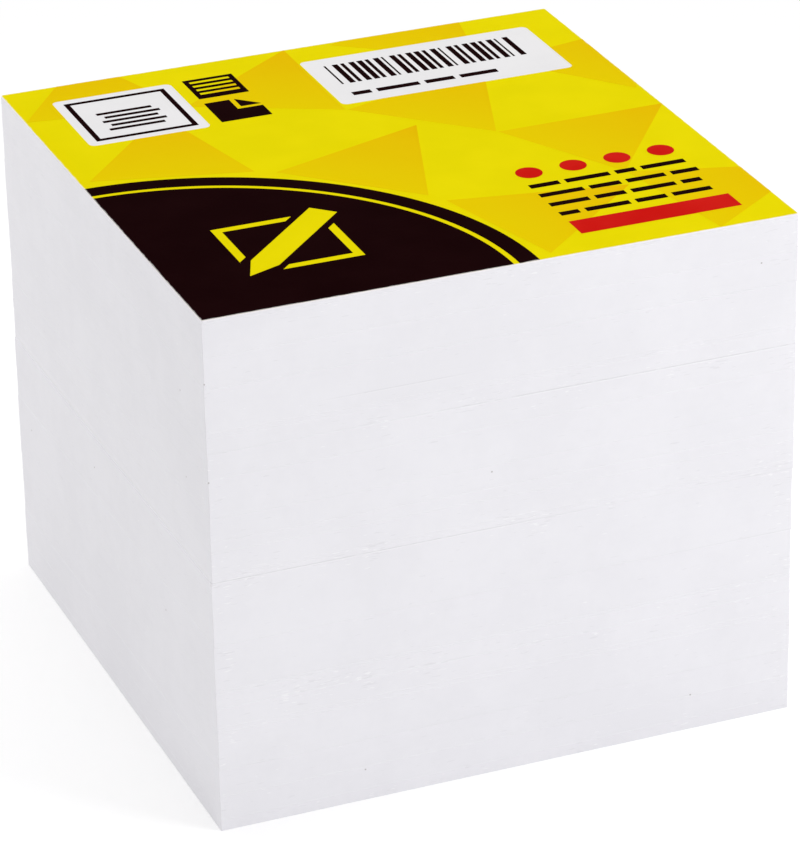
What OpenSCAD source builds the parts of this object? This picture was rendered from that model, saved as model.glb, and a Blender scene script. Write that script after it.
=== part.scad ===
// A memo cube: a block of loose note sheets under a printed cover card.
// The origin is the centre of the underside, with +X along the front edge, +Y to the back and +Z up.

/* [Sheets] */
// Width of one sheet, along the front edge
sheet_width = 90; // [80:0.5:150]
// Depth of one sheet, front to back
sheet_depth = 90; // [80:0.5:150]
// Number of sheets in the block
sheet_count = 800; // [400:50:1200]
// Thickness of one sheet of 80 gram paper
sheet_thickness = 0.1; // [0.07:0.005:0.13]

/* [Cut lifts] */
// Number of sheets that the guillotine cuts in one lift
lift_sheets = 200; // [100:50:400]
// How far each lift sits out of line with the block's middle
lift_slip = 0.04; // [0:0.01:0.5]
// Number of sheets that were knocked up together inside a lift
bundle_sheets = 50; // [25:25:100]
// How far each bundle sits out of line with its lift
bundle_slip = 0.02; // [0:0.005:0.1]

/* [Cover card] */
// Thickness of the cover card
cover_thickness = 0.25; // [0.15:0.05:0.6]
// Thickness of one film of printing ink
ink_film = 0.02; // [0.005:0.005:0.03]
// Bare distance from the card's edges to the nearest panel, icon or line of print
print_margin = 6; // [3:0.5:10]

/* [Dark corner] */
// Radius of the dark quarter disc in the front left corner
disc_r = 50; // [35:1:54]
// Distance from the disc's rim in to its thin bright line
keyline_inset = 3; // [1:0.5:6]
// Width of the disc's thin bright line
keyline_w = 0.9; // [0.4:0.1:2]

/* [Note and pencil] */
// Side of the square note that is left bright in the dark disc
note_side = 17; // [10:1:20]
// Width of the note's outline
note_line = 1.4; // [0.6:0.2:3]
// Distance of the note's middle from both edges of the front left corner
note_inset = 20; // [16:1:22]
// Length of the pencil, from its end to its point
pencil_length = 25; // [16:1:28]
// Width of the pencil
pencil_w = 4.4; // [2:0.2:6]
// Length of the pencil's sharpened point
point_length = 5; // [3:0.5:8]
// Clear strip round the pencil where it crosses the note
pencil_clearance = 1.1; // [0.4:0.1:2]

/* [Triangle rings] */
// Distance from one ring of deep yellow triangles to the next
ring_pitch = 26; // [12:1:36]
// Distance from the dark disc's rim to the first ring's middle
ring_inset = 13; // [8:1:20]
// Side of one triangle that faces the dark disc
triangle_base = 24; // [8:1:30]
// Height of one triangle, from that side to its point
triangle_h = 24; // [6:1:30]

/* [Label] */
// Width of the white label panel
label_w = 38; // [30:1:44]
// Depth of the white label panel
label_h = 19; // [16:1:24]
// Radius of the corners of both white panels
panel_corner = 1; // [0.5:0.25:2]
// Distance from the label's edges to what is printed on it
label_inset = 3; // [1.5:0.5:4]
// Distance from one upright bar to the next
bar_pitch = 1.35; // [1.2:0.05:2]
// Width of the thinnest upright bar
bar_thin = 0.3; // [0.2:0.05:0.35]
// Length of the upright bars
bar_length = 8; // [4:0.5:10]

/* [Icons] */
// Side of one square icon
icon_side = 8; // [5:0.5:9]
// Clear strip between the icons
icon_gap = 2; // [1:0.5:4]
// Thickness of the lines and of the gaps inside an icon
icon_line = 0.8; // [0.4:0.1:1]

/* [Caption] */
// Height of one bar that stands for a word
word_h = 1.3; // [0.6:0.1:2]
// Distance from one line of word bars to the next
word_pitch = 3.6; // [2.5:0.1:5]
// Shortest word bar
word_min = 3; // [1:0.5:4]
// How much longer than the shortest a word bar may be
word_spread = 4; // [1:0.5:5]
// Gap between two word bars
word_gap = 1; // [0.5:0.1:2]
// Number of lines of word bars
caption_lines = 4; // [1:1:5]
// Number of word bars in each line
words_per_line = 4; // [2:1:4]

/* [Red marks] */
// Height of the red band under the caption
band_h = 4.6; // [2:0.2:8]
// Length of the red band, which is also that of the row of red dots over the caption
band_w = 25; // [16:1:30]
// Diameter of each red dot
dot_d = 4; // [2:0.25:5]
// Number of red dots
dot_count = 4; // [2:1:4]

/* [Hidden] */

paper_white = [0.93, 0.93, 0.94];
card_white = [0.92, 0.92, 0.92];
ground_yellow = [0.91, 0.85, 0.01];
deep_yellow = [0.91, 0.78, 0.0];
print_black = [0.09, 0.02, 0.02];
print_red = [0.82, 0.06, 0.1];

$fn = 96;
// Ink films that lie over each other in each colour
GROUND_FILMS = 1;
DEEP_FILMS = 2;
DARK_FILMS = 3;

stack_h = sheet_count * sheet_thickness;
bundle_count = ceil(sheet_count / bundle_sheets);
sheet_diagonal = sqrt(pow(sheet_width, 2) + pow(sheet_depth, 2));
ring_count = ceil((sheet_diagonal - disc_r - ring_inset) / ring_pitch) + 1;
bar_count = floor((label_w - 2 * label_inset) / bar_pitch);
mark_side = label_h;
icon_column_x = print_margin + mark_side + icon_gap;
caption_h = (caption_lines - 1) * word_pitch + word_h;
dot_pitch = (band_w - dot_d) / (dot_count - 1);
caption_x = sheet_width - print_margin - band_w;
caption_y = print_margin + band_h + word_pitch - word_h;
dot_y = caption_y + caption_h + word_pitch - word_h + dot_d / 2;

// +1 for an even number and -1 for an odd one
function side(i) = i % 2 == 0 ? 1 : -1;

// The four ways in turn that a lift or a bundle slips out of line
function slip(i, amount) = amount * [side(i), side(floor(i / 2))];

// Length of word bar i, and how far along its line it starts when the line's first bar is first
function word_length(i) = word_min + word_spread * abs(sin(77 * i));
function word_start(i, first) =
    i == first ? 0 : word_start(i - 1, first) + word_length(i - 1) + word_gap;

// Width of upright bar i of the label: one to three times the thinnest
function bar_width(i) = bar_thin * (1 + floor(2.9 * abs(sin(77 * i))));

// The block of loose sheets: bundles that lie on each other face to face
module sheet_stack() {
    color(paper_white)
        for (i = [0 : bundle_count - 1])
            let (
                first = i * bundle_sheets,
                count = min(bundle_sheets, sheet_count - first),
                lift = floor(first / lift_sheets),
                place = slip(lift, lift_slip) + slip(i, bundle_slip)
            )
            translate([place.x - sheet_width / 2, place.y - sheet_depth / 2, first * sheet_thickness])
                cube([sheet_width, sheet_depth, count * sheet_thickness]);
}

// The cover card and its print
module cover_sheet() {
    translate([-sheet_width / 2, -sheet_depth / 2, stack_h]) {
        color(card_white) linear_extrude(cover_thickness) card_outline();
        color(ground_yellow) ink(GROUND_FILMS) ground();
        color(deep_yellow) ink(DEEP_FILMS) triangle_rings();
        color(print_black) ink(DARK_FILMS) dark_corner();
        color(print_black) ink(DARK_FILMS) icon_column();
        color(print_black) ink(DARK_FILMS) caption();
        color(print_red) ink(DARK_FILMS) red_marks();
        color(print_black) ink(GROUND_FILMS) label_print();
        color(print_black) ink(GROUND_FILMS) mark_print();
    }
}

// A print shape as a number of ink films, from the card's own face up
module ink(films) {
    linear_extrude(cover_thickness + films * ink_film)
        intersection() {
            card_outline();
            children();
        }
}

// Print is placed from the card's front left corner, in the card's own plane
module card_outline() {
    square([sheet_width, sheet_depth]);
}

module rounded_panel(w, h, r) {
    translate([r, 0]) square([w - 2 * r, h]);
    translate([0, r]) square([w, h - 2 * r]);
    for (x = [r, w - r], y = [r, h - r])
        translate([x, y]) circle(r);
}

module at_label() {
    translate([sheet_width - print_margin - label_w, sheet_depth - print_margin - label_h])
        children();
}

module at_mark() {
    translate([print_margin, sheet_depth - print_margin - mark_side]) children();
}

// Both white panels are bare card
module panels() {
    at_label() rounded_panel(label_w, label_h, panel_corner);
    at_mark() rounded_panel(mark_side, mark_side, panel_corner);
}

module ground() {
    difference() {
        card_outline();
        panels();
    }
}

// Rings of triangles round the dark corner, each of them pointing away from it
module triangle_rings() {
    difference() {
        for (k = [0 : ring_count - 1])
            let (
                ring_r = disc_r + ring_inset + k * ring_pitch,
                count = floor(PI / 2 * ring_r / ring_pitch)
            )
            for (i = [0 : count - 1])
                rotate((i + 0.5) * 90 / count) translate([ring_r, 0]) triangle();
        panels();
    }
}

module triangle() {
    polygon([
        [-triangle_h / 2, -triangle_base / 2],
        [triangle_h / 2, 0],
        [-triangle_h / 2, triangle_base / 2]
    ]);
}

module dark_corner() {
    difference() {
        circle(disc_r);
        difference() {
            circle(disc_r - keyline_inset);
            circle(disc_r - keyline_inset - keyline_w);
        }
        translate([note_inset, note_inset]) note_and_pencil();
    }
}

module note_and_pencil() {
    difference() {
        square(note_side, center = true);
        square(note_side - 2 * note_line, center = true);
        pencil(pencil_clearance);
    }
    pencil(0);
}

// A pencil that lies across the note with its point towards the front left corner
module pencil(grow) {
    half = pencil_w / 2 + grow;
    end = pencil_length / 2 + grow;
    point = -pencil_length / 2 - grow;
    rotate(45)
        polygon([
            [end, -half],
            [end, half],
            [point + point_length, half],
            [point, 0],
            [point + point_length, -half]
        ]);
}

// Upright bars over one line of word bars; the bars spell nothing
module label_print() {
    at_label() {
        for (i = [0 : bar_count - 1])
            translate([label_inset + i * bar_pitch, label_h - label_inset - bar_length])
                square([bar_width(i), bar_length]);
        translate([label_inset, label_inset]) word_line(0);
    }
}

// A pile of sheets in a thin frame
module mark_print() {
    pile = mark_side / 2;
    at_mark() {
        difference() {
            translate([label_inset / 2, label_inset / 2]) square(mark_side - label_inset);
            translate([label_inset / 2 + icon_line, label_inset / 2 + icon_line])
                square(mark_side - label_inset - 2 * icon_line);
        }
        translate([(mark_side - pile) / 2, (mark_side - pile) / 2]) sheet_pile(pile);
    }
}

module sheet_pile(size) {
    for (i = [0 : floor(size / (2 * icon_line)) - 1])
        translate([(1 - side(i)) * icon_line / 2, 2 * i * icon_line])
            square([size - icon_line, icon_line]);
}

// Two small icons over each other, beside the framed mark
module icon_column() {
    translate([icon_column_x, sheet_depth - print_margin - icon_side]) {
        lined_note_icon();
        translate([0, -icon_side - icon_gap]) folded_note_icon();
    }
}

module lined_note_icon() {
    difference() {
        square(icon_side);
        for (y = [2 * icon_line : 2 * icon_line : icon_side - 2 * icon_line])
            translate([icon_line, y]) square([icon_side - 2 * icon_line, icon_line]);
    }
}

// A note with its corner folded over
module folded_note_icon() {
    fold = icon_side / 2 - icon_line;
    difference() {
        square(icon_side);
        translate([icon_side - fold - icon_line, icon_side - fold - icon_line])
            square(fold + 2 * icon_line);
    }
    translate([icon_side - fold, icon_side - fold])
        polygon([[0, 0], [fold, 0], [0, fold]]);
}

module word_line(line) {
    first = line * words_per_line;
    for (i = [first : first + words_per_line - 1])
        translate([word_start(i, first), 0]) square([word_length(i), word_h]);
}

// Lines of word bars, no longer than the red band
module caption() {
    translate([caption_x, caption_y])
        intersection() {
            square([band_w, caption_h]);
            for (line = [0 : caption_lines - 1])
                translate([0, line * word_pitch]) word_line(line);
        }
}

module red_marks() {
    translate([caption_x, print_margin]) square([band_w, band_h]);
    for (i = [0 : dot_count - 1])
        translate([caption_x + dot_d / 2 + i * dot_pitch, dot_y]) circle(d = dot_d);
}

sheet_stack();
cover_sheet();
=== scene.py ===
"""A memo cube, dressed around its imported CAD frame: 800 loose note sheets under a printed cover card.

The frame gives the sizes and places of the stack and the card. What it can't say stands in the dataclasses
below: how single sheets slip, how the print is laid out, and the finishes. Lengths are in metres.
"""

import logging
import math
import random
from collections.abc import Sequence
from dataclasses import dataclass, field
from enum import Enum
from functools import cached_property

import bmesh
import bpy
from bmesh.types import BMEdge, BMesh, BMVert
from bpy.types import Material, Node, NodeSocket, NodeTree, Object
from mathutils import Matrix, Vector


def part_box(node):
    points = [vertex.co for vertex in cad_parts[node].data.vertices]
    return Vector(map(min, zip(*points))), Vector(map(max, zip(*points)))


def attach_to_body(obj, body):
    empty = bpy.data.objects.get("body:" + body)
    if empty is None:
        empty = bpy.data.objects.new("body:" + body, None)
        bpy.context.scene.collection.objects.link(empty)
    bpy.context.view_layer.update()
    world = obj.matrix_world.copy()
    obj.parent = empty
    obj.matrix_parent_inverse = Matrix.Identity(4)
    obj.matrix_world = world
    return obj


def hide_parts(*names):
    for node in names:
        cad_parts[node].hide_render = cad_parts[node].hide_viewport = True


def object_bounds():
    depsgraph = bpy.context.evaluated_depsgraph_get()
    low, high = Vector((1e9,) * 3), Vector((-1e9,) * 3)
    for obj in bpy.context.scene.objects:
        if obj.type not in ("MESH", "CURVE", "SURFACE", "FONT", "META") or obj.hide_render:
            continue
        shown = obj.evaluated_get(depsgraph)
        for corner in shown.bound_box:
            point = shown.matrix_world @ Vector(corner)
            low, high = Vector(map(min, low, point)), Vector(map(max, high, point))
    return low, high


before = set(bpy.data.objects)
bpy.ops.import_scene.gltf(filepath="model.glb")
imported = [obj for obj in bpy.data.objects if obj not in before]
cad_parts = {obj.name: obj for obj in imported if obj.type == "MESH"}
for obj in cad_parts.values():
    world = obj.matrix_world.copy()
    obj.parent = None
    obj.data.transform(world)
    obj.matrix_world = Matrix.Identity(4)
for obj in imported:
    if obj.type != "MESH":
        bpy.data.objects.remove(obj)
CAD_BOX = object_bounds()

LOG = logging.getLogger("memo_cube")
MM = 0.001
NOTHING = 1e-7

Colour = tuple[float, float, float]
Value = NodeSocket | float | Sequence[float]


class Slot(Enum):
    """The record's material slots."""

    NOTE_PAPER = "note_paper"
    COVER_CARD = "cover_card"


class Cut(Enum):
    """What a cutter does to the shape that it meets."""

    TAKE_AWAY = "DIFFERENCE"
    KEEP_INSIDE = "INTERSECT"


@dataclass(frozen=True)
class Graph:
    """Adds linked nodes to one node tree."""

    tree: NodeTree

    def add(self, kind: str, inputs: dict[str | int, Value] | None = None, **settings: object) -> Node:
        """Adds one node.

        Args:
            kind: The node's type name.
            inputs: A value or a socket for each input, by name or number.
            **settings: The node's own properties, which are set first.

        Returns:
            The node.
        """
        node = self.tree.nodes.new(kind)
        for name, value in settings.items():
            setattr(node, name, value)
        for name, value in (inputs or {}).items():
            self.feed(node.inputs[name], value)
        return node

    def feed(self, socket: NodeSocket, value: Value) -> None:
        """Links a socket to an input, or sets its value.

        Args:
            socket: The input.
            value: A socket, or a plain value.
        """
        if isinstance(value, NodeSocket):
            self.tree.links.new(value, socket)
        else:
            socket.default_value = value

    def calc(self, operation: str, *values: Value) -> NodeSocket:
        """Returns the result of one Math node on the values."""
        return self.add("ShaderNodeMath", dict(enumerate(values)), operation=operation).outputs[0]

    def times(self, value: Value, by: Value) -> NodeSocket:
        """Returns a value multiplied by another."""
        return self.calc("MULTIPLY", value, by)

    def minus(self, value: Value, less: Value) -> NodeSocket:
        """Returns a value less another."""
        return self.calc("SUBTRACT", value, less)

    def axes(self, vector: Value) -> Sequence[NodeSocket]:
        """Returns a vector's x, y and z."""
        return self.add("ShaderNodeSeparateXYZ", {0: vector}).outputs

    def scaled(self, vector: Value, by: Sequence[float]) -> NodeSocket:
        """Returns a vector multiplied by another, part by part."""
        return self.add("ShaderNodeVectorMath", {0: vector, 1: by}, operation="MULTIPLY").outputs[0]

    def length(self, vector: Value) -> NodeSocket:
        """Returns a vector's length."""
        return self.add("ShaderNodeVectorMath", {0: vector}, operation="LENGTH").outputs["Value"]

    def noise(self, vector: Value, scale: Value, detail: float = 2.0, roughness: float = 0.5) -> NodeSocket:
        """Returns the noise at a point, about 0.5 on average."""
        inputs = {"Vector": vector, "Scale": scale, "Detail": detail, "Roughness": roughness}
        return self.add("ShaderNodeTexNoise", inputs).outputs[0]

    def step(self, value: Value, low: Value, high: Value) -> NodeSocket:
        """Returns a smooth step from 0 at low to 1 at high."""
        inputs = {"Value": value, "From Min": low, "From Max": high}
        return self.add("ShaderNodeMapRange", inputs, interpolation_type="SMOOTHSTEP").outputs[0]

    def blend(self, factor: Value, first: Value, second: Value) -> NodeSocket:
        """Returns a colour between first, at a factor of 0, and second, at 1."""
        inputs = {0: factor, 6: opaque(first), 7: opaque(second)}
        return self.add("ShaderNodeMix", inputs, data_type="RGBA").outputs[2]

    def effect(self, group: NodeTree, inputs: dict[str, Value]) -> dict[str, NodeSocket]:
        """Places a shared effect group, and returns its outputs by name."""
        node = self.add("ShaderNodeGroup", inputs, node_tree=group)
        return {socket.name: socket for socket in node.outputs}


def opaque(colour: Value) -> Value:
    """Returns a plain colour with an alpha of 1, and a socket as it is."""
    return colour if isinstance(colour, NodeSocket) else (*colour[:3], 1.0)


def new_group(name: str, inputs: Sequence[str], outputs: Sequence[str]) -> tuple[Graph, dict, dict]:
    """Starts a node group whose inputs are numbers, apart from one called Vector.

    Args:
        name: The group's name.
        inputs: Names of its inputs.
        outputs: Names of its outputs, which are numbers.

    Returns:
        The graph, its input sockets and its output sockets, by name.
    """
    tree = bpy.data.node_groups.new(name, "ShaderNodeTree")
    for socket in inputs:
        kind = "NodeSocketVector" if socket == "Vector" else "NodeSocketFloat"
        tree.interface.new_socket(name=socket, in_out="INPUT", socket_type=kind)
    for socket in outputs:
        tree.interface.new_socket(name=socket, in_out="OUTPUT", socket_type="NodeSocketFloat")
    graph = Graph(tree)
    entry, leave = graph.add("NodeGroupInput"), graph.add("NodeGroupOutput")
    return graph, {n: entry.outputs[n] for n in inputs}, {n: leave.inputs[n] for n in outputs}


class Effects:
    """The shader node groups that the finishes share, each built once."""

    SINGLE_SHEETS = (70.0, 70.0, 9000.0)
    SEVERAL_SHEETS = (32.0, 32.0, 2200.0)
    SHORT_MARKS = {"Dents": (480.0, 480.0, 4200.0), "Burrs": (620.0, 620.0, 3600.0)}
    RARE_MARKS = 0.74
    MORE_IN_ZONE = 0.13
    MARK_EDGE = 0.05
    LINE_CORE = 0.25
    # How far under a slit its painted highlight lies, in slit widths.
    LIP_DROP = 1.3
    RUB_NOISE = 900.0
    RUB_EDGE = 0.3

    @cached_property
    def fibre_grain(self) -> NodeTree:
        """Makes paper's surface. Fibre and Cloud are the scales of its fibres and of its uneven thickness.

        Returns:
            The group, with Height of the matted fibres, and Cloud.
        """
        graph, at, out = new_group("fibre_grain", ["Vector", "Fibre", "Cloud"], ["Height", "Cloud"])
        graph.feed(out["Height"], graph.noise(at["Vector"], at["Fibre"], 3.0))
        graph.feed(out["Cloud"], graph.noise(at["Vector"], at["Cloud"]))
        return graph.tree

    @cached_property
    def sheet_edges(self) -> NodeTree:
        """Makes cut sheet edges. Zone, from 0 to 1, says where the blade's marks gather.

        Returns:
            The group, with Height, Tone of the streaks, and Dents and Burrs, the short marks of the blade,
            which raise relief and mark where painted shade and painted highlight go.
        """
        graph, at, out = new_group("sheet_edges", ["Vector", "Zone"], ["Height", "Tone", "Dents", "Burrs"])
        scales = (self.SINGLE_SHEETS, self.SEVERAL_SHEETS)
        layers = [graph.noise(graph.scaled(at["Vector"], scale), 1.0) for scale in scales]
        height = graph.calc("ADD", *layers)
        graph.feed(out["Height"], height)
        graph.feed(out["Tone"], graph.times(height, 0.5))
        start = graph.minus(self.RARE_MARKS, graph.times(at["Zone"], self.MORE_IN_ZONE))
        end = graph.calc("ADD", start, self.MARK_EDGE)
        for name, scale in self.SHORT_MARKS.items():
            short = graph.noise(graph.scaled(at["Vector"], scale), 1.0, 1.0)
            graph.feed(out[name], graph.step(short, start, end))
        return graph.tree

    @cached_property
    def specks(self) -> NodeTree:
        """Makes specks on a block's sides. Share is the part of the cells that hold one.

        Returns:
            The group, with Mask, which is 1 in a speck.
        """
        graph, at, out = new_group("specks", ["Vector", "Cells", "Share", "Radius"], ["Mask"])
        x, y, z = graph.axes(at["Vector"])
        back = graph.calc("GREATER_THAN", graph.calc("ADD", x, y), 0.0)
        around = graph.calc("ADD", graph.minus(x, y), back)
        flat = graph.add("ShaderNodeCombineXYZ", {0: around, 1: z}).outputs[0]
        pattern = {"Vector": flat, "Scale": at["Cells"]}
        cell = graph.add("ShaderNodeTexVoronoi", pattern, voronoi_dimensions="2D").outputs
        chance = graph.add("ShaderNodeSeparateColor", {0: cell["Color"]}).outputs[0]
        kept = graph.calc("LESS_THAN", chance, at["Share"])
        inside = graph.calc("LESS_THAN", cell["Distance"], graph.times(at["Radius"], at["Cells"]))
        graph.feed(out["Mask"], graph.times(kept, inside))
        return graph.tree

    @cached_property
    def open_joint(self) -> NodeTree:
        """Makes a joint that gapes for a stretch along x.

        Returns:
            The group, with two masks: first the slit, where painted shade goes, then the edge under it, where
                a painted highlight goes.
        """
        names = ["Vector", "Height", "Width", "Start", "Risen", "Sinking", "End"]
        graph, at, out = new_group("open_joint", names, ["Gap", "Edge Highlight"])
        x, _, z = graph.axes(at["Vector"])
        rise = graph.step(x, at["Start"], at["Risen"])
        along = graph.times(rise, graph.minus(1.0, graph.step(x, at["Sinking"], at["End"])))
        over = graph.minus(z, at["Height"])
        lowered = graph.calc("ADD", over, graph.times(at["Width"], self.LIP_DROP))
        # One line of painted shade along the slit, and one of painted highlight just under it.
        for name, distance in (("Gap", over), ("Edge Highlight", lowered)):
            away = graph.calc("DIVIDE", graph.calc("ABSOLUTE", distance), at["Width"])
            line = graph.minus(1.0, graph.step(away, self.LINE_CORE, 1.0))
            graph.feed(out[name], graph.times(line, along))
        return graph.tree

    @cached_property
    def rim_rub(self) -> NodeTree:
        """Makes the wear of a card's rim. Half X and Half Y give the card's size.

        Returns:
            The group, with Mask, which is 1 where handling has rubbed the rim.
        """
        graph, at, out = new_group("rim_rub", ["Vector", "Half X", "Half Y", "Reach"], ["Mask"])
        x, y, _ = graph.axes(at["Vector"])
        gaps = [
            graph.minus(at[half], graph.calc("ABSOLUTE", axis))
            for half, axis in (("Half X", x), ("Half Y", y))
        ]
        broken = graph.times(graph.noise(at["Vector"], self.RUB_NOISE, 3.0), at["Reach"])
        near = graph.minus(broken, graph.calc("MINIMUM", *gaps))
        graph.feed(out["Mask"], graph.step(near, 0.0, graph.times(at["Reach"], self.RUB_EDGE)))
        return graph.tree


EFFECTS = Effects()


class Surface:
    """A material under way: its graph, shader and Object coordinates, and the colour painted so far."""

    def __init__(self, name: str, colour: Colour) -> None:
        """Starts a material on an empty tree.

        Args:
            name: The material's name.
            colour: The colour that the others are painted over.
        """
        self.material = bpy.data.materials.new(name)
        self.material.use_nodes = True
        self.material.node_tree.nodes.clear()
        self.graph = Graph(self.material.node_tree)
        self.shader = self.graph.add("ShaderNodeBsdfPrincipled")
        self.output = self.graph.add("ShaderNodeOutputMaterial", {"Surface": self.shader.outputs[0]})
        self.place = self.graph.add("ShaderNodeTexCoord").outputs["Object"]
        self.colour: Value = opaque(colour)

    def paint(self, mask: Value, shows: Value, colour: Value) -> None:
        """Paints a colour over the one so far, where a mask times a share lets it show."""
        self.colour = self.graph.blend(self.graph.times(mask, shows), self.colour, colour)


@dataclass(frozen=True)
class Grain:
    """Matted fibres and uneven thickness, with the gloss, roughness and relief that go with them."""

    fibre: float
    cloud: float = 0.0
    gloss: float = 0.25
    roughness: tuple[float, float] = (0.7, 0.3)
    bump: tuple[float, float] = (0.3, 0.01 * MM)

    def on(self, surface: Surface) -> dict[str, NodeSocket]:
        """Returns the grain's outputs on a surface."""
        scales = {"Vector": surface.place, "Fibre": self.fibre, "Cloud": self.cloud}
        return surface.graph.effect(EFFECTS.fibre_grain, scales)

    def finish(self, surface: Surface, fibres: NodeSocket, height: NodeSocket) -> Material:
        """Finishes a painted surface.

        Args:
            surface: The material under way.
            fibres: The height of the fibres, which roughen it.
            height: The height of its relief.

        Returns:
            The material.
        """
        graph, shader = surface.graph, surface.shader.inputs
        least, more = self.roughness
        relief = {"Height": height, "Strength": self.bump[0], "Distance": self.bump[1]}
        graph.feed(shader["Base Color"], surface.colour)
        graph.feed(shader["Roughness"], graph.calc("ADD", least, graph.times(fibres, more)))
        graph.feed(shader["Specular IOR Level"], self.gloss)
        graph.feed(shader["Normal"], graph.add("ShaderNodeBump", relief).outputs[0])
        return surface.material


@dataclass(frozen=True)
class Patches:
    """A mask of soft patches, cut from a noise between two of its values."""

    scale: float
    low: float
    high: float
    detail: float = 2.0
    roughness: float = 0.5

    def mask(self, graph: Graph, vector: Value) -> NodeSocket:
        """Returns the mask at a point."""
        noise = graph.noise(vector, self.scale, self.detail, self.roughness)
        return graph.step(noise, self.low, self.high)


@dataclass(frozen=True)
class OpenJoint:
    """A stretch of the front and the back side where the sheets stand a hair apart."""

    lifts: float
    start: float
    end: float
    fade_in: float
    fade_out: float
    shows: float


@dataclass(frozen=True)
class NotePaper:
    """Bright white uncoated paper, seen on its cut edges."""

    lift_height: float
    half_width: float
    paper: Colour = (0.893, 0.884, 0.923)
    shaded: Colour = (0.867, 0.858, 0.897)
    # Painted shade: the dark of the blade's dents, the joint lines and the gaping slits.
    painted_shade: Colour = (0.66, 0.65, 0.68)
    # Painted highlight: the bright burrs, and the lit edges under gaping slits.
    painted_highlight: Colour = (0.96, 0.955, 0.98)
    speck: Colour = (0.34, 0.31, 0.29)
    grain: Grain = Grain(5200.0, roughness=(0.84, 0.16), bump=(0.05, 0.03 * MM))
    fibre_relief: float = 0.5
    clouds: Patches = Patches(60.0, 0.35, 0.65, 4.0, 0.75)
    cloudiness: float = 0.87
    streaks: tuple[float, float] = (0.40, 0.64)
    mark_patches: Patches = Patches(110.0, 0.40, 0.66)
    marked_strip: float = 4.0 * MM
    marked_corner: float = 7.0 * MM
    marked_side: tuple[float, float] = (0.8 * MM, 0.4 * MM)
    quiet_side: float = 0.25
    dent_shade_shows: float = 0.22
    burr_highlight_shows: float = 0.75
    joint_width: float = 0.15 * MM
    joint_stretch: tuple[float, float, float] = (1.0, 1.0, 0.3)
    joint_patches: Patches = Patches(75.0, 0.36, 0.58)
    joint_shade_shows: float = 0.08
    gap_width: float = 0.12 * MM
    gap_patches: Patches = Patches(420.0, 0.30, 0.52)
    speck_cells: float = 95.0
    speck_share: float = 0.12
    speck_radius: float = 0.14 * MM
    specks_show: float = 0.55
    open_joints: tuple[OpenJoint, ...] = (
        OpenJoint(3.0, -32 * MM, 47 * MM, 45 * MM, 1 * MM, 0.55),
        OpenJoint(2.0, -47 * MM, 16 * MM, 1 * MM, 25 * MM, 0.50),
        OpenJoint(3.25, -30 * MM, -3 * MM, 9 * MM, 9 * MM, 0.28),
        OpenJoint(1.0, -22 * MM, -1 * MM, 8 * MM, 8 * MM, 0.20),
        OpenJoint(1.5, 26 * MM, 47 * MM, 12 * MM, 1 * MM, 0.22),
    )

    def from_joint(self, surface: Surface) -> NodeSocket:
        """Returns the distance in height from the nearest face between two cut lifts."""
        height = surface.graph.axes(surface.place)[2]
        return surface.graph.calc("PINGPONG", height, self.lift_height / 2)

    def front_and_back(self, surface: Surface, y: NodeSocket) -> NodeSocket:
        """Returns a mask of the two sides that the blade marked most, from the y of a point."""
        low, high = (self.half_width - inset for inset in self.marked_side)
        return surface.graph.step(surface.graph.calc("ABSOLUTE", y), low, high)

    def marked_zone(self, surface: Surface, away: NodeSocket) -> NodeSocket:
        """Masks where the blade's marks gather, in patches along the joints and at the upright corners.

        Args:
            surface: The material under way.
            away: The distance from the nearest joint.

        Returns:
            The mask.
        """
        graph = surface.graph
        x, y, _ = graph.axes(surface.place)
        inner = graph.calc("MINIMUM", graph.calc("ABSOLUTE", x), graph.calc("ABSOLUTE", y))
        corner = graph.step(inner, self.half_width - self.marked_corner, self.half_width)
        strip = graph.minus(1.0, graph.step(away, 0.0, self.marked_strip))
        patchy = self.mark_patches.mask(graph, surface.place)
        zone = graph.times(graph.calc("MAXIMUM", corner, strip), patchy)
        return graph.times(zone, graph.calc("MAXIMUM", self.front_and_back(surface, y), self.quiet_side))

    def gape(self, surface: Surface, broken: NodeSocket) -> None:
        """Paints shade into the slits and a highlight onto the lips of the joints that gape.

        Args:
            surface: The material under way.
            broken: A mask that breaks the lines up.
        """
        graph = surface.graph
        seen = graph.times(self.front_and_back(surface, graph.axes(surface.place)[1]), broken)
        for joint in self.open_joints:
            stretch = {
                "Vector": surface.place,
                "Height": joint.lifts * self.lift_height,
                "Width": self.gap_width,
                "Start": joint.start,
                "Risen": joint.start + joint.fade_in,
                "Sinking": joint.end - joint.fade_out,
                "End": joint.end,
            }
            lines = graph.effect(EFFECTS.open_joint, stretch)
            shows = graph.times(seen, joint.shows)
            # Painted shade in each slit, and a painted highlight on the edge under it.
            surface.paint(lines["Gap"], shows, self.painted_shade)
            surface.paint(lines["Edge Highlight"], shows, self.painted_highlight)

    def paint(self, surface: Surface, edges: dict[str, NodeSocket], away: NodeSocket) -> None:
        """Paints the clouds and streaks, the blade's marks with painted shade in the dents and painted
        highlight on the burrs, the joints as painted shade, and the specks, one over another.

        Args:
            surface: The material under way.
            edges: What the cut sheet edges look like.
            away: The distance from the nearest joint.
        """
        graph, place = surface.graph, surface.place
        cloudy = graph.times(self.clouds.mask(graph, place), self.cloudiness)
        streaky = graph.times(graph.step(edges["Tone"], *self.streaks), 1.0 - self.cloudiness)
        surface.paint(graph.calc("ADD", cloudy, streaky), 1.0, self.shaded)
        # The dents take painted shade and the burrs a painted highlight; their relief in the bump is real.
        surface.paint(edges["Dents"], self.dent_shade_shows, self.painted_shade)
        surface.paint(edges["Burrs"], self.burr_highlight_shows, self.painted_highlight)
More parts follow.
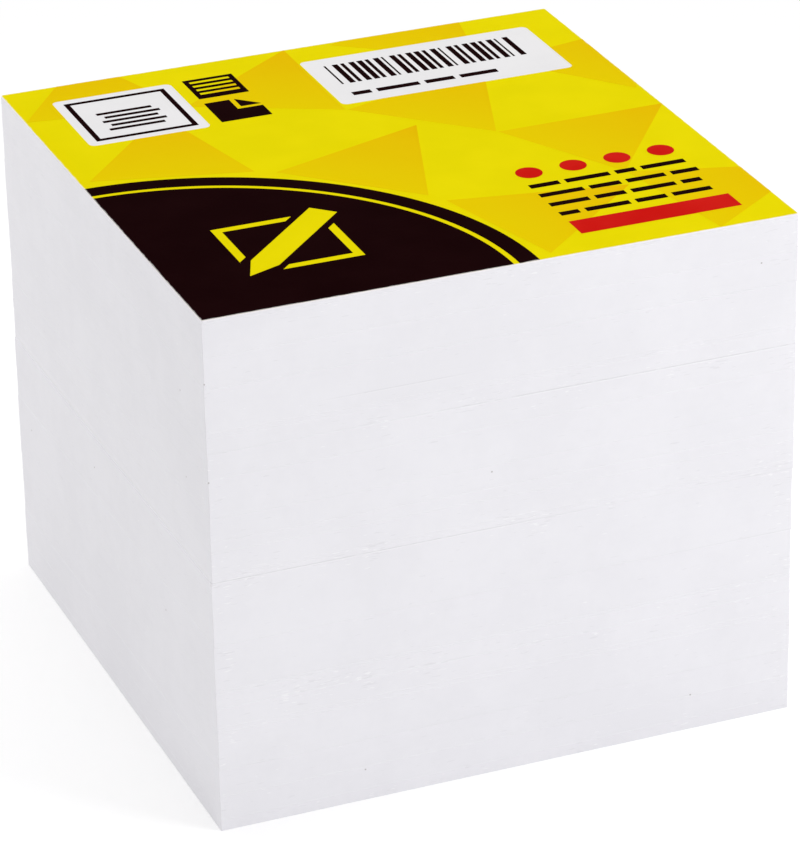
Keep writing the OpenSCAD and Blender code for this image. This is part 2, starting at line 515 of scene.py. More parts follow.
        # Painted shade in the hairline joints between the cut lifts, broken in patches.
        stretched = graph.scaled(place, self.joint_stretch)
        line = graph.minus(1.0, graph.step(away, EFFECTS.LINE_CORE * self.joint_width, self.joint_width))
        broken = self.joint_patches.mask(graph, stretched)
        surface.paint(graph.times(line, broken), self.joint_shade_shows, self.painted_shade)
        self.gape(surface, self.gap_patches.mask(graph, stretched))
        cells = {"Cells": self.speck_cells, "Share": self.speck_share, "Radius": self.speck_radius}
        specks = graph.effect(EFFECTS.specks, {"Vector": place, **cells})
        surface.paint(specks["Mask"], self.specks_show, self.speck)

    def make(self) -> Material:
        """Makes the material.

        Returns:
            The material.
        """
        surface = Surface("note_paper_edges", self.paper)
        graph, away = surface.graph, self.from_joint(surface)
        zone = {"Vector": surface.place, "Zone": self.marked_zone(surface, away)}
        edges = graph.effect(EFFECTS.sheet_edges, zone)
        self.paint(surface, edges, away)
        fibres = self.grain.on(surface)["Height"]
        height = graph.calc("ADD", edges["Height"], graph.times(fibres, self.fibre_relief))
        height = graph.minus(graph.calc("ADD", height, edges["Burrs"]), edges["Dents"])
        return self.grain.finish(surface, fibres, height)


@dataclass(frozen=True)
class PlainPaper:
    """A flat face of paper or white card."""

    name: str
    paper: Colour
    shade: Colour
    grain: Grain
    mottle: tuple[float, float] = (0.35, 0.70)

    def make(self) -> Material:
        """Makes the material.

        Returns:
            The material.
        """
        surface = Surface(self.name, self.paper)
        grain = self.grain.on(surface)
        surface.paint(surface.graph.step(grain["Cloud"], *self.mottle), 1.0, self.shade)
        return self.grain.finish(surface, grain["Height"], grain["Height"])


@dataclass(frozen=True)
class Ink:
    """A nearly matt film of printing ink on card, with the card's fibres showing through."""

    name: str
    colour: Colour
    uneven: Colour
    rubbed: Colour
    half: tuple[float, float]
    grain: Grain
    unevenness: float = 1.0
    mottle: tuple[float, float] = (0.30, 0.75)
    fibres: tuple[float, float] = (0.55, 0.80)
    fibres_show: float = 0.35
    rub_reach: float = 0.35 * MM
    rub_shows: float = 0.5

    def tint(self, surface: Surface) -> Value:
        """Returns the ink's own colour, before it is uneven or rubbed."""
        return self.colour

    def make(self) -> Material:
        """Makes the material.

        Returns:
            The material.
        """
        surface = Surface(self.name, self.colour)
        graph, grain = surface.graph, self.grain.on(surface)
        surface.colour = self.tint(surface)
        fine = graph.times(graph.step(grain["Height"], *self.fibres), self.fibres_show)
        mottled = graph.calc("MAXIMUM", graph.step(grain["Cloud"], *self.mottle), fine)
        surface.paint(mottled, self.unevenness, self.uneven)
        rim = {"Half X": self.half[0], "Half Y": self.half[1], "Reach": self.rub_reach}
        rub = graph.effect(EFFECTS.rim_rub, {"Vector": surface.place, **rim})
        surface.paint(rub["Mask"], self.rub_shows, self.rubbed)
        return self.grain.finish(surface, grain["Height"], grain["Height"])


@dataclass(frozen=True)
class FadingInk(Ink):
    """An ink that fades into a paler one, ring after ring round the card's front left corner."""

    paler: Colour = (1.0, 1.0, 1.0)
    first_ring: float = 0.0
    ring_pitch: float = 1.0

    def tint(self, surface: Surface) -> Value:
        """Fades the ink's own colour.

        Args:
            surface: The material under way.

        Returns:
            A colour that is pale at the inside of each ring and full at its outside.
        """
        graph, corner = surface.graph, (*self.half, 0.0)
        out = graph.add("ShaderNodeVectorMath", {0: surface.place, 1: corner}).outputs[0]
        radius = graph.length(graph.scaled(out, (1.0, 1.0, 0.0)))
        rings = graph.calc("DIVIDE", graph.minus(radius, self.first_ring), self.ring_pitch)
        return graph.blend(graph.calc("FRACT", rings), self.paler, self.colour)


def finished(name: str, shape: BMesh, *materials: Material) -> Object:
    """Turns a shape into an object at the origin.

    Args:
        name: The object's name.
        shape: The shape in the part's own frame, which is freed.
        *materials: Its materials, in the order of its faces' numbers.

    Returns:
        The object.
    """
    bmesh.ops.recalc_face_normals(shape, faces=shape.faces)
    mesh = bpy.data.meshes.new(name)
    shape.to_mesh(mesh)
    shape.free()
    for material in materials:
        mesh.materials.append(material)
    piece = bpy.data.objects.new(name, mesh)
    bpy.context.scene.collection.objects.link(piece)
    return piece


def is_upright(edge: BMEdge) -> bool:
    """Returns whether an edge stands more upright than not."""
    return abs(edge.verts[0].co.z - edge.verts[1].co.z) > 0.5 * edge.calc_length()


def round_off(shape: BMesh, edges: Sequence[BMEdge], radius: float, segments: int) -> None:
    """Rounds edges.

    Args:
        shape: The shape.
        edges: Its edges.
        radius: The radius that they get.
        segments: How many strips stand for the round.
    """
    bmesh.ops.bevel(
        shape,
        geom=edges,
        offset=radius,
        offset_type="OFFSET",
        segments=segments,
        profile=0.5,
        affect="EDGES",
        material=-1,
    )


def carve(piece: Object, cutter: Object, cut: Cut) -> Object:
    """Cuts a piece with another, which is used up.

    Args:
        piece: The piece that is cut.
        cutter: The shape that cuts it.
        cut: What stays.

    Returns:
        The piece, with its new mesh.
    """
    tool = piece.modifiers.new("cut", "BOOLEAN")
    tool.object = cutter
    tool.operation = cut.value
    tool.solver = "EXACT"
    bpy.context.view_layer.update()
    evaluated = piece.evaluated_get(bpy.context.evaluated_depsgraph_get())
    mesh = bpy.data.meshes.new_from_object(evaluated)
    piece.modifiers.clear()
    piece.data = mesh
    bpy.data.objects.remove(cutter)
    return piece


def attach(piece: Object, node: str) -> None:
    """Rides a piece on the one body and hides the CAD node that it stands for.

    Args:
        piece: The piece.
        node: The CAD node.
    """
    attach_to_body(piece, "root")
    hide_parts(node)
    low, high = (Vector(map(end, zip(*[v.co for v in piece.data.vertices]))) for end in (min, max))
    size = " by ".join(f"{side / MM:.2f}" for side in high - low)
    LOG.info("%s: %d faces, %s mm", piece.name, len(piece.data.polygons), size)


def side(number: int) -> int:
    """Returns 1 for an even number and -1 for an odd one."""
    return 1 if number % 2 == 0 else -1


@dataclass
class SheetStack:
    """The block of loose sheets, cut in lifts and knocked up in bundles."""

    low: Vector
    high: Vector
    sheet: Vector
    sheets: int = 800
    sheets_per_lift: int = 200
    sheets_per_bundle: int = 50
    bundle_slip: float = 0.02 * MM
    corner_radius: float = 0.08 * MM
    wander: float = 0.0009 * MM
    pull: float = 0.97
    stray_share: float = 0.02
    stray_depth: float = 0.03 * MM
    twist: float = 0.00012
    cuts_along_a_side: int = 5
    seed: int = 800

    @property
    def thickness(self) -> float:
        """Returns the thickness of one sheet."""
        return (self.high.z - self.low.z) / self.sheets

    @property
    def lift_height(self) -> float:
        """Returns the height of one cut lift."""
        return self.thickness * self.sheets_per_lift

    @property
    def lift_slip(self) -> float:
        """Returns how far a lift sits out of line: what the CAD box leaves beside sheet and bundle."""
        return (self.high.x - self.low.x - self.sheet.x) / 2 - self.bundle_slip

    def slips(self) -> list[tuple[float, float, float]]:
        """Works out how each sheet lies.

        Returns:
            For each level between two sheets, from the bottom, the sheet's shift in x and y and its turn.
        """
        draw = random.Random(self.seed)
        levels = []
        x = y = turn = 0.0
        for level in range(self.sheets + 1):
            sheet = min(level, self.sheets - 1)
            lift = sheet // self.sheets_per_lift
            bundle = sheet // self.sheets_per_bundle
            x = x * self.pull + draw.gauss(0.0, self.wander)
            y = y * self.pull + draw.gauss(0.0, self.wander)
            turn = turn * self.pull + draw.gauss(0.0, self.twist * (1 - self.pull))
            is_stray = draw.random() < self.stray_share
            stray = draw.choice((-1, 1)) * self.stray_depth if is_stray else 0.0
            right = side(lift) * self.lift_slip + side(bundle) * self.bundle_slip
            back = side(lift // 2) * self.lift_slip + side(bundle // 2) * self.bundle_slip
            levels.append((right + x + stray, back + y - stray, turn))
        return levels

    def block(self) -> BMesh:
        """Makes a block with rounded uprights and a ring of points at each level between two sheets.

        Returns:
            The shape.
        """
        shape = bmesh.new()
        size = Vector((self.sheet.x, self.sheet.y, self.high.z - self.low.z))
        middle = Matrix.Translation((0.0, 0.0, (self.high.z + self.low.z) / 2))
        bmesh.ops.create_cube(shape, size=1.0, matrix=middle @ Matrix.Diagonal((*size, 1.0)))
        round_off(shape, self.uprights(shape), self.corner_radius, 2)
        long_sides = [e for e in shape.edges if e.calc_length() > self.sheet.x / 2 and not is_upright(e)]
        bmesh.ops.subdivide_edges(shape, edges=long_sides, cuts=self.cuts_along_a_side, use_grid_fill=True)
        bmesh.ops.subdivide_edges(shape, edges=self.uprights(shape), cuts=self.sheets - 1, use_grid_fill=True)
        return shape

    @staticmethod
    def uprights(shape: BMesh) -> list[BMEdge]:
        """Returns the edges that stand upright."""
        return [e for e in shape.edges if is_upright(e)]

    def build(self, edges: Material, face: Material) -> Object:
        """Makes the stack's skin.

        Args:
            edges: The finish of the cut edges.
            face: The finish of the lowest and the top sheet's face.

        Returns:
            The piece.
        """
        shape = self.block()
        slips = self.slips()
        for vert in shape.verts:
            x, y, turn = slips[round((vert.co.z - self.low.z) / self.thickness)]
            flat = Matrix.Rotation(turn, 2) @ vert.co.xy + Vector((x, y))
            vert.co.x = min(max(flat.x, self.low.x), self.high.x)
            vert.co.y = min(max(flat.y, self.low.y), self.high.y)
        shape.normal_update()
        for polygon in shape.faces:
            polygon.material_index = int(len(polygon.verts) > 4)
        piece = finished("sheet_stack_skin", shape, edges, face)
        attach(piece, "sheet_stack")
        return piece


@dataclass
class Stencil:
    """Closed prisms between a low and a high level, placed from the card's front left corner."""

    corner: Vector
    low: float
    high: float
    shape: BMesh = field(default_factory=bmesh.new)

    def placed(self, x: float, y: float, z: float) -> Matrix:
        """Returns a shift to a place on the card."""
        return Matrix.Translation((self.corner.x + x, self.corner.y + y, z))

    def bar(self, x: float, y: float, width: float, depth: float) -> list[BMVert]:
        """Adds a rectangle.

        Args:
            x: Its left side.
            y: Its front side.
            width: Its size in x.
            depth: Its size in y.

        Returns:
            Its points.
        """
        place = self.placed(x + width / 2, y + depth / 2, (self.low + self.high) / 2)
        size = Matrix.Diagonal((width, depth, self.high - self.low, 1.0))
        return bmesh.ops.create_cube(self.shape, size=1.0, matrix=place @ size)["verts"]

    def disc(self, x: float, y: float, radius: float, segments: int = 192) -> None:
        """Adds a disc.

        Args:
            x: Its middle.
            y: Its middle.
            radius: Its radius.
            segments: How many sides stand for its rim.
        """
        bmesh.ops.create_cone(
            self.shape,
            cap_ends=True,
            segments=segments,
            radius1=radius,
            radius2=radius,
            depth=self.high - self.low,
            matrix=self.placed(x, y, (self.low + self.high) / 2),
        )

    def polygon(self, points: Sequence[Vector]) -> None:
        """Adds a straight-sided shape.

        Args:
            points: Its corners on the card.
        """
        verts = [self.shape.verts.new(self.placed(p.x, p.y, self.low).translation) for p in points]
        foot = self.shape.faces.new(verts)
        raised = bmesh.ops.extrude_face_region(self.shape, geom=[foot], use_keep_orig=True)["geom"]
        lifted = [v for v in raised if isinstance(v, BMVert)]
        bmesh.ops.translate(self.shape, verts=lifted, vec=(0.0, 0.0, self.high - self.low))

    def panel(self, x: float, y: float, width: float, depth: float, radius: float) -> None:
        """Adds a rectangle with round corners.

        Args:
            x: Its left side.
            y: Its front side.
            width: Its size in x.
            depth: Its size in y.
            radius: Radius of its corners.
        """
        verts = self.bar(x, y, width, depth)
        corners = [e for e in self.shape.edges if e.verts[0] in verts and is_upright(e)]
        round_off(self.shape, corners, radius, 8)

    def piece(self, name: str, *materials: Material) -> Object:
        """Returns the stencil's prisms as an object."""
        return finished(name, self.shape, *materials)

    def ring(self, name: str, hollow: "Stencil") -> Object:
        """Returns the stencil's prisms as an object, without those of another stencil."""
        return carve(self.piece(name), hollow.piece(f"{name}_inside"), Cut.TAKE_AWAY)


@dataclass(frozen=True)
class PrintLayout:
    """Sizes of the print, the same as the CAD's own, from the card's front left corner."""

    margin: float = 6 * MM
    disc_r: float = 50 * MM
    keyline_inset: float = 3 * MM
    keyline_w: float = 0.9 * MM
    note_side: float = 17 * MM
    note_line: float = 1.4 * MM
    note_inset: float = 20 * MM
    pencil_length: float = 25 * MM
    pencil_w: float = 4.4 * MM
    point_length: float = 5 * MM
    pencil_clearance: float = 1.1 * MM
    ring_pitch: float = 26 * MM
    ring_inset: float = 13 * MM
    triangle_base: float = 24 * MM
    triangle_h: float = 24 * MM
    label_w: float = 38 * MM
    label_h: float = 19 * MM
    panel_corner: float = 1 * MM
    label_inset: float = 3 * MM
    bar_pitch: float = 1.35 * MM
    bar_thin: float = 0.3 * MM
    bar_length: float = 8 * MM
    icon_side: float = 8 * MM
    icon_gap: float = 2 * MM
    icon_line: float = 0.8 * MM
    word_h: float = 1.3 * MM
    word_pitch: float = 3.6 * MM
    word_min: float = 3 * MM
    word_spread: float = 4 * MM
    word_gap: float = 1 * MM
    caption_lines: int = 4
    words_per_line: int = 4
    band_h: float = 4.6 * MM
    band_w: float = 25 * MM
    dot_d: float = 4 * MM
    dot_count: int = 4
    wave_step_deg: float = 77
    bar_widths: float = 2.9

    @property
    def caption_h(self) -> float:
        """Returns the height of the lines of word bars."""
        return (self.caption_lines - 1) * self.word_pitch + self.word_h

    @property
    def caption_y(self) -> float:
        """Returns where the lowest line of word bars stands."""
        return self.margin + self.band_h + self.word_pitch - self.word_h

    @property
    def dot_y(self) -> float:
        """Returns the middle of the row of red dots."""
        return self.caption_y + self.caption_h + self.word_pitch - self.word_h + self.dot_d / 2

    def wave(self, number: int) -> float:
        """Returns a fixed value from 0 to 1 that changes from one number to the next."""
        return abs(math.sin(math.radians(self.wave_step_deg * number)))

    def word_length(self, number: int) -> float:
        """Returns the length of a word bar."""
        return self.word_min + self.word_spread * self.wave(number)

    def bar_width(self, number: int) -> float:
        """Returns the width of an upright bar of the label."""
        return self.bar_thin * (1 + math.floor(self.bar_widths * self.wave(number)))


@dataclass
class CoverCard:
    """The printed card on top: white card, with each ink as a film of its own."""

    low: Vector
    high: Vector
    film: float = 0.02 * MM
    dark_films: int = 3
    corner_radius: float = 0.35 * MM
    rim_radius: float = 0.04 * MM
    layout: PrintLayout = field(default_factory=PrintLayout)

    @property
    def face(self) -> float:
        """Returns the height of the card's bare face."""
        return self.high.z - self.dark_films * self.film

    @property
    def size(self) -> Vector:
        """Returns the card's size."""
        return self.high - self.low

    def stencil(self, first: int, last: int) -> Stencil:
        """Returns a stencil from the top of one film to the top of another, where film 0 is the bare card."""
        return Stencil(self.low, self.face + first * self.film, self.face + last * self.film)

    def cutter(self, reach: int = 1) -> Stencil:
        """Returns a stencil that cuts through all films and reaches a few films past them."""
        return self.stencil(-reach, self.dark_films + reach)

    def flood(self, film: Stencil) -> None:
        """Adds the printed area to a film, a hair inside the cut rim."""
        hair = self.rim_radius
        film.panel(hair, hair, self.size.x - 2 * hair, self.size.y - 2 * hair, self.corner_radius)

    def printed_area(self) -> Object:
        """Makes a cutter of the printed area.

        Returns:
            The cutter.
        """
        area = self.cutter()
        self.flood(area)
        return area.piece("printed_area")

    def panels(self) -> Object:
        """Makes a cutter of the two bare panels.

        Returns:
            The cutter.
        """
        p, area = self.layout, self.cutter()
        label_x, label_y = self.label_corner()
        area.panel(label_x, label_y, p.label_w, p.label_h, p.panel_corner)
        area.panel(p.margin, label_y, p.label_h, p.label_h, p.panel_corner)
        return area.piece("panels")

    def label_corner(self) -> tuple[float, float]:
        """Returns the label's front left corner."""
        p = self.layout
        return self.size.x - p.margin - p.label_w, self.size.y - p.margin - p.label_h

    def card(self, stock: Material, rim: Material) -> Object:
        """Makes the bare card.

        Args:
            stock: The finish of its faces.
            rim: The finish of its cut rim, which is painted brighter than the card's face as a painted
                highlight.

        Returns:
            The piece.
        """
        body = Stencil(self.low, self.low.z, self.face)
        body.panel(0.0, 0.0, self.size.x, self.size.y, self.corner_radius)
        for wall in body.shape.faces:
            wall.material_index = int(abs(wall.normal.z) < 0.5)
        rims = [e for e in body.shape.edges if min(v.co.z for v in e.verts) > self.face - NOTHING]
        round_off(body.shape, rims, self.rim_radius, 2)
        return body.piece("cover_card", stock, rim)

    def ground(self, ink: Material) -> Object:
        """Makes the yellow ground with its two bare panels.

        Args:
            ink: The finish.

        Returns:
            The piece.
        """
        film = self.stencil(0, 1)
        self.flood(film)
        return carve(film.piece("ground_ink", ink), self.panels(), Cut.TAKE_AWAY)

    def triangles(self, ink: Material) -> Object:
        """Makes the rings of deep yellow triangles round the dark corner.

        Args:
            ink: The finish.

        Returns:
            The piece.
        """
        p, film = self.layout, self.stencil(1, 2)
        half_h, half_base = p.triangle_h / 2, p.triangle_base / 2
        corners = [Vector(place) for place in ((-half_h, -half_base), (half_h, 0.0), (-half_h, half_base))]
        ring_r = p.disc_r + p.ring_inset
        while ring_r < self.size.xy.length + p.triangle_h:
            count = math.floor(math.pi / 2 * ring_r / p.ring_pitch)
            for number in range(count):
                turn = Matrix.Rotation((number + 0.5) * math.pi / 2 / count, 2)
                film.polygon([turn @ (corner + Vector((ring_r, 0.0))) for corner in corners])
            ring_r += p.ring_pitch
        piece = carve(film.piece("triangle_ink", ink), self.printed_area(), Cut.KEEP_INSIDE)
        return carve(piece, self.panels(), Cut.TAKE_AWAY)

    def keyline(self) -> Object:
        """Makes a cutter of the thin line inside the dark disc's rim.

        Returns:
            The cutter.
        """
        p, outer, inner = self.layout, self.cutter(), self.cutter(2)
        outer.disc(0.0, 0.0, p.disc_r - p.keyline_inset)
        inner.disc(0.0, 0.0, p.disc_r - p.keyline_inset - p.keyline_w)
        return outer.ring("keyline", inner)

    def pencil(self, grow: float, reach: int) -> Object:
        """Makes a cutter of the pencil.

        Args:
            grow: How much larger it is all round.
            reach: How many films it reaches past the print.

        Returns:
            The cutter.
        """
        p = self.layout
        half = p.pencil_w / 2 + grow
        end = p.pencil_length / 2 + grow
        shoulder = p.point_length - end
        outline = [(end, -half), (end, half), (shoulder, half), (-end, 0.0), (shoulder, -half)]
        turn = Matrix.Rotation(math.radians(45), 2)
        shape = self.cutter(reach)
        shape.polygon([turn @ Vector(point) + Vector((p.note_inset, p.note_inset)) for point in outline])
        return shape.piece("pencil")

    def note(self) -> Object:
        """Makes a cutter of the note's outline, broken where the pencil crosses it.

        Returns:
            The cutter.
        """
        p, outer, inner = self.layout, self.cutter(), self.cutter(2)
        start = p.note_inset - p.note_side / 2
        hollow = p.note_side - 2 * p.note_line
        outer.bar(start, start, p.note_side, p.note_side)
        inner.bar(start + p.note_line, start + p.note_line, hollow, hollow)
        return carve(outer.ring("note", inner), self.pencil(p.pencil_clearance, 3), Cut.TAKE_AWAY)

    def dark_corner(self, ink: Material) -> Object:
        """Makes the dark quarter disc with its keyline, note and pencil left bright.

        Args:
            ink: The finish.

        Returns:
            The piece.
        """
        film = self.stencil(1, self.dark_films)
        film.disc(0.0, 0.0, self.layout.disc_r)
        piece = carve(film.piece("dark_corner_ink", ink), self.printed_area(), Cut.KEEP_INSIDE)
        for cutter in (self.keyline(), self.note(), self.pencil(0.0, 1)):
            piece = carve(piece, cutter, Cut.TAKE_AWAY)
        return piece

    def word_line(self, film: Stencil, line: int, x: float, y: float, room: float) -> None:
        """Adds one line of word bars.

        Args:
            film: The stencil.
            line: The line's number, which sets its word lengths.
            x: Where it starts.
            y: Where it stands.
            room: The most that it may take.
        """
        p = self.layout
        along = 0.0
        for number in range(line * p.words_per_line, (line + 1) * p.words_per_line):
            length = min(p.word_length(number), room - along)
            if length > 0:
                film.bar(x + along, y, length, p.word_h)
            along += p.word_length(number) + p.word_gap

    def dark_marks(self, ink: Material) -> Object:
        """Makes the two icons and the caption of word bars.

        Args:
            ink: The finish.

        Returns:
            The piece.
        """
        p, film = self.layout, self.stencil(1, self.dark_films)
        x = p.margin + p.label_h + p.icon_gap
        y = self.size.y - p.margin - p.icon_side
        film.bar(x, y, p.icon_side, p.icon_side)
        lower = y - p.icon_side - p.icon_gap
        fold = p.icon_side / 2 - p.icon_line
        cut, full = p.icon_side - fold - p.icon_line, p.icon_side
        body = [(0, 0), (full, 0), (full, cut), (cut, cut), (cut, full), (0, full)]
        flap = [(full - fold, full - fold), (full, full - fold), (full - fold, full)]
        for outline in (body, flap):
            film.polygon([Vector((x + px, lower + py)) for px, py in outline])
        caption_x = self.size.x - p.margin - p.band_w
        for line in range(p.caption_lines):
            self.word_line(film, line, caption_x, p.caption_y + line * p.word_pitch, p.band_w)
        lines = self.cutter()
        row = 2 * p.icon_line
        while row <= p.icon_side - 2 * p.icon_line + NOTHING:
            lines.bar(x + p.icon_line, y + row, p.icon_side - 2 * p.icon_line, p.icon_line)
            row += 2 * p.icon_line
        return carve(film.piece("dark_marks_ink", ink), lines.piece("icon_lines"), Cut.TAKE_AWAY)

    def red_marks(self, ink: Material) -> Object:
        """Makes the red band and the row of red dots.

        Args:
            ink: The finish.

        Returns:
            The piece.
        """
        p, film = self.layout, self.stencil(1, self.dark_films)
        left = self.size.x - p.margin - p.band_w
        film.bar(left, p.margin, p.band_w, p.band_h)
        pitch = (p.band_w - p.dot_d) / (p.dot_count - 1)
        for number in range(p.dot_count):
            film.disc(left + p.dot_d / 2 + number * pitch, p.dot_y, p.dot_d / 2, 64)
        return film.piece("red_marks_ink", ink)

    def panel_print(self, ink: Material) -> Object:
        """Makes what is printed on the two bare panels.

        Args:
            ink: The finish.

        Returns:
            The piece.
        """
        p, film, hollow = self.layout, self.stencil(0, 1), self.cutter()
        label_x, label_y = self.label_corner()
        left = label_x + p.label_inset
        foot = label_y + p.label_h - p.label_inset - p.bar_length
        for number in range(math.floor((p.label_w - 2 * p.label_inset) / p.bar_pitch)):
            film.bar(left + number * p.bar_pitch, foot, p.bar_width(number), p.bar_length)
        self.word_line(film, 0, left, label_y + p.label_inset, p.label_w)
        edge = p.label_inset / 2
        frame_side = p.label_h - p.label_inset
        inner = frame_side - 2 * p.icon_line
        film.bar(p.margin + edge, label_y + edge, frame_side, frame_side)
        hollow.bar(p.margin + edge + p.icon_line, label_y + edge + p.icon_line, inner, inner)
        piece = carve(film.piece("panel_print_ink", ink), hollow.piece("frame_inside"), Cut.TAKE_AWAY)
        return self.join(piece, self.sheet_pile(label_y))

    def sheet_pile(self, label_y: float) -> Object:
        """Makes the pile of sheets inside the framed panel.

        Args:
            label_y: The panel's front side.

        Returns:
            The pile.
        """
        p, film = self.layout, self.stencil(0, 1)
        pile = p.label_h / 2
        start = (p.label_h - pile) / 2
        for number in range(math.floor(pile / (2 * p.icon_line))):
            shift = (1 - side(number)) * p.icon_line / 2
            up = start + 2 * number * p.icon_line
            film.bar(p.margin + start + shift, label_y + up, pile - p.icon_line, p.icon_line)
        return film.piece("sheet_pile")

    @staticmethod
    def join(piece: Object, other: Object) -> Object:
        """Adds another object's mesh to a piece.

        Args:
            piece: The piece.
            other: The object, which is used up.

        Returns:
            The piece.
        """
        shape = bmesh.new()
        for part in (piece, other):
            shape.from_mesh(part.data)
        shape.to_mesh(piece.data)
        shape.free()
        bpy.data.objects.remove(other)
        return piece

    def build(self) -> None:
        """Makes the card and all its ink films."""
        p, half = self.layout, (self.size.x / 2, self.size.y / 2)
        white, bare = (0.825, 0.815, 0.825), (0.79, 0.77, 0.77)
        matt, duller, satin = (
            Grain(3800.0, 120.0, gloss, (0.36, 0.24), (0.2, 0.01 * MM)) for gloss in (0.002, 0.001, 0.003)
        )
        yellow = Ink("yellow_ink", (0.79, 0.675, 0.0005), (0.82, 0.70, 0.001), white, half, matt)
        deep = FadingInk(
            "deep_yellow_ink",
            (0.785, 0.47, 0.0003),
            (0.80, 0.56, 0.0005),
            white,
            half,
            matt,
            unevenness=0.4,
            paler=(0.79, 0.60, 0.0005),
            first_ring=p.disc_r + p.ring_inset - p.triangle_h / 2,
            ring_pitch=p.ring_pitch,
        )
        black = Ink("black_ink", (0.0075, 0.0008, 0.0012), (0.0095, 0.0014, 0.0018), bare, half, duller)
        red = Ink("red_ink", (0.58, 0.006, 0.004), (0.62, 0.012, 0.008), white, half, satin)
        stock = PlainPaper("white_card", white, (0.805, 0.795, 0.805), Grain(3800.0, 120.0))
        # The card's cut rim: its own white, painted brighter than the card's face as a painted highlight
        # along the edge.
        rim = PlainPaper("painted_bright_card_rim", (0.94, 0.91, 0.94), (0.90, 0.87, 0.90), Grain(5200.0, 300.0))
        black_film = black.make()
        pieces = (
            self.card(stock.make(), rim.make()),
            self.ground(yellow.make()),
            self.triangles(deep.make()),
            self.dark_corner(black_film),
            self.dark_marks(black_film),
            self.red_marks(red.make()),
            self.panel_print(black_film),
        )
        for piece in pieces:
            attach(piece, "cover_sheet")


@dataclass(frozen=True)
class Softbox:
    """One soft studio lamp."""

    name: str
    place: tuple[float, float, float]
    size: float
    watts: float
    colour: Colour = (1.0, 1.0, 1.0)

    def build(self, target: Vector) -> None:
        """Makes the lamp.

        Args:
            target: The point that it faces.
        """
        data = bpy.data.lights.new(self.name, "AREA")
        data.shape = "SQUARE"
        data.size = self.size
        data.energy = self.watts
        data.color = self.colour
        lamp = bpy.data.objects.new(self.name, data)
        lamp.location = self.place
        lamp.rotation_mode = "QUATERNION"
        lamp.rotation_quaternion = (target - Vector(self.place)).to_track_quat("-Z", "Y")
        bpy.context.scene.collection.objects.link(lamp)


@dataclass(frozen=True)
class PhotoCamera:
    """The camera that saw the photograph, from a fit to the block's corners."""

    azimuth_deg: float = -21.53
    elevation_deg: float = 25.88
    roll_deg: float = -1.04
    distance: float = 0.7091
    slide_right: float = 0.0007
    slide_up: float = 0.0319
    focal_px: float = 4592.0
    frame_px: float = 854.0
    sensor_mm: float = 36.0
    clip: tuple[float, float] = (0.01, 20.0)

    def build(self) -> None:
        """Makes the camera and sets it as the scene's own."""
        data = bpy.data.cameras.new("photo_camera")
        data.sensor_width = self.sensor_mm
        data.lens = self.focal_px / self.frame_px * self.sensor_mm
        data.clip_start, data.clip_end = self.clip
        azimuth, elevation = math.radians(self.azimuth_deg), math.radians(self.elevation_deg)
        level = math.cos(elevation)
        back = Vector((math.sin(azimuth) * level, -math.cos(azimuth) * level, math.sin(elevation)))
        right = Vector((math.cos(azimuth), math.sin(azimuth), 0.0))
        turn = Matrix((right, back.cross(right), back)).transposed()
        turn = turn @ Matrix.Rotation(math.radians(self.roll_deg), 3, "Z")
        camera = bpy.data.objects.new("photo_camera", data)
        camera.matrix_world = turn.to_4x4()
        camera.location = turn @ Vector((self.slide_right, self.slide_up, self.distance))
        bpy.context.scene.collection.objects.link(camera)
        bpy.context.scene.camera = camera


def background_rays(graph: Graph) -> NodeSocket:
    """Masks the rays that show the background.

    Args:
        graph: The graph of the floor or the surround.

    Returns:
        A mask, which is 1 for the camera's own rays, reflected ones and those through glass.
    """
    path = graph.add("ShaderNodeLightPath")
    rays = [path.outputs[f"Is {kind} Ray"] for kind in ("Camera", "Glossy", "Transmission")]
    return graph.calc("MAXIMUM", graph.calc("MAXIMUM", rays[0], rays[1]), rays[2])


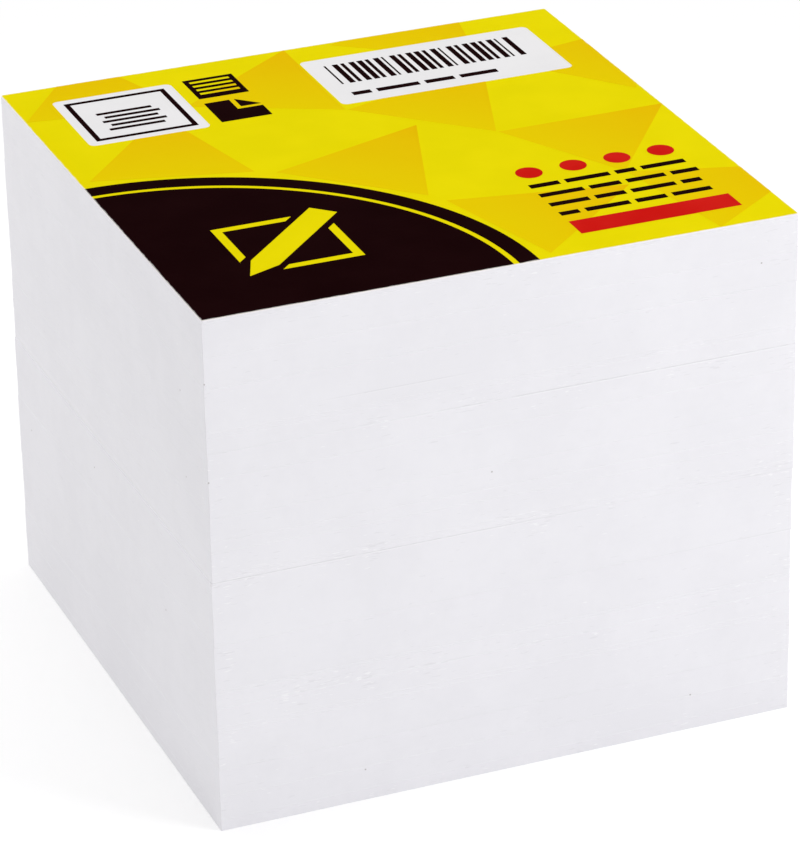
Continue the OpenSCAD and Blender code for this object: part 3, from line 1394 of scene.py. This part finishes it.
@dataclass(frozen=True)
class Studio:
    """A pale floor, a white surround and soft lamps."""

    floor_size: float = 6.0
    floor_colour: Colour = (0.90, 0.90, 0.90)
    floor_roughness: float = 0.9
    floor_lift: float = 0.20
    shadow_reach: tuple[float, float] = (0.11, 0.30)
    surround: float = 0.67
    white: Colour = (1.0, 1.0, 1.0)
    lamps: tuple[Softbox, ...] = (
        Softbox("key_softbox", (0.36, -0.34, 0.30), 0.26, 0.97),
        Softbox("side_softbox", (-0.26, 0.30, 0.22), 0.24, 0.31, (1.0, 0.99, 0.95)),
        Softbox("top_softbox", (0.05, 0.20, 1.10), 0.70, 1.96),
    )

    def floor(self) -> None:
        """Makes the floor, which fades from a soft shadow near the object to the surround's white."""
        shape = bmesh.new()
        bmesh.ops.create_grid(shape, x_segments=1, y_segments=1, size=self.floor_size / 2)
        surface = Surface("floor", self.floor_colour)
        graph, inputs = surface.graph, surface.shader.inputs
        inputs["Base Color"].default_value = surface.colour
        inputs["Roughness"].default_value = self.floor_roughness
        inputs["Specular IOR Level"].default_value = 0.0
        seen = background_rays(graph)
        glow = graph.add("ShaderNodeEmission", {"Strength": graph.times(seen, self.floor_lift)}).outputs[0]
        near = graph.add("ShaderNodeAddShader", {0: surface.shader.outputs[0], 1: glow}).outputs[0]
        fade = graph.times(graph.step(graph.length(surface.place), *self.shadow_reach), seen)
        white = graph.add("ShaderNodeEmission", {"Color": opaque(self.white)}).outputs[0]
        mixed = graph.add("ShaderNodeMixShader", {0: fade, 1: near, 2: white}).outputs[0]
        graph.feed(surface.output.inputs["Surface"], mixed)
        finished("floor", shape, surface.material)

    def world(self) -> None:
        """Makes the surround: white to the camera and in reflections, and softer as a light."""
        world = bpy.data.worlds.new("surround")
        world.use_nodes = True
        world.node_tree.nodes.clear()
        graph = Graph(world.node_tree)
        soft, white = (
            graph.add("ShaderNodeBackground", {"Color": opaque(self.white), "Strength": strength}).outputs[0]
            for strength in (self.surround, 1.0)
        )
        mixed = graph.add("ShaderNodeMixShader", {0: background_rays(graph), 1: soft, 2: white}).outputs[0]
        graph.add("ShaderNodeOutputWorld", {"Surface": mixed})
        bpy.context.scene.world = world

    def build(self, target: Vector) -> None:
        """Makes the floor, the surround and the lamps.

        Args:
            target: The point that the lamps face.
        """
        bpy.context.scene.view_settings.view_transform = "Standard"
        self.floor()
        self.world()
        for lamp in self.lamps:
            lamp.build(target)


def main() -> None:
    """Builds the camera, the studio, the stack and its cover, in that order."""
    logging.basicConfig(level=logging.INFO, format="%(name)s: %(message)s")
    stack_low, stack_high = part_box("sheet_stack")
    card_low, card_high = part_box("cover_sheet")
    PhotoCamera().build()
    Studio().build((CAD_BOX[0] + CAD_BOX[1]) / 2)
    stack = SheetStack(stack_low, stack_high, card_high - card_low)
    edges = NotePaper(stack.lift_height, stack.sheet.x / 2)
    face = PlainPaper("note_paper_face", edges.paper, (0.878, 0.869, 0.908), Grain(4500.0, 90.0))
    stack.build(edges.make(), face.make())
    CoverCard(card_low, card_high).build()


if __name__ == "__main__":
    main()
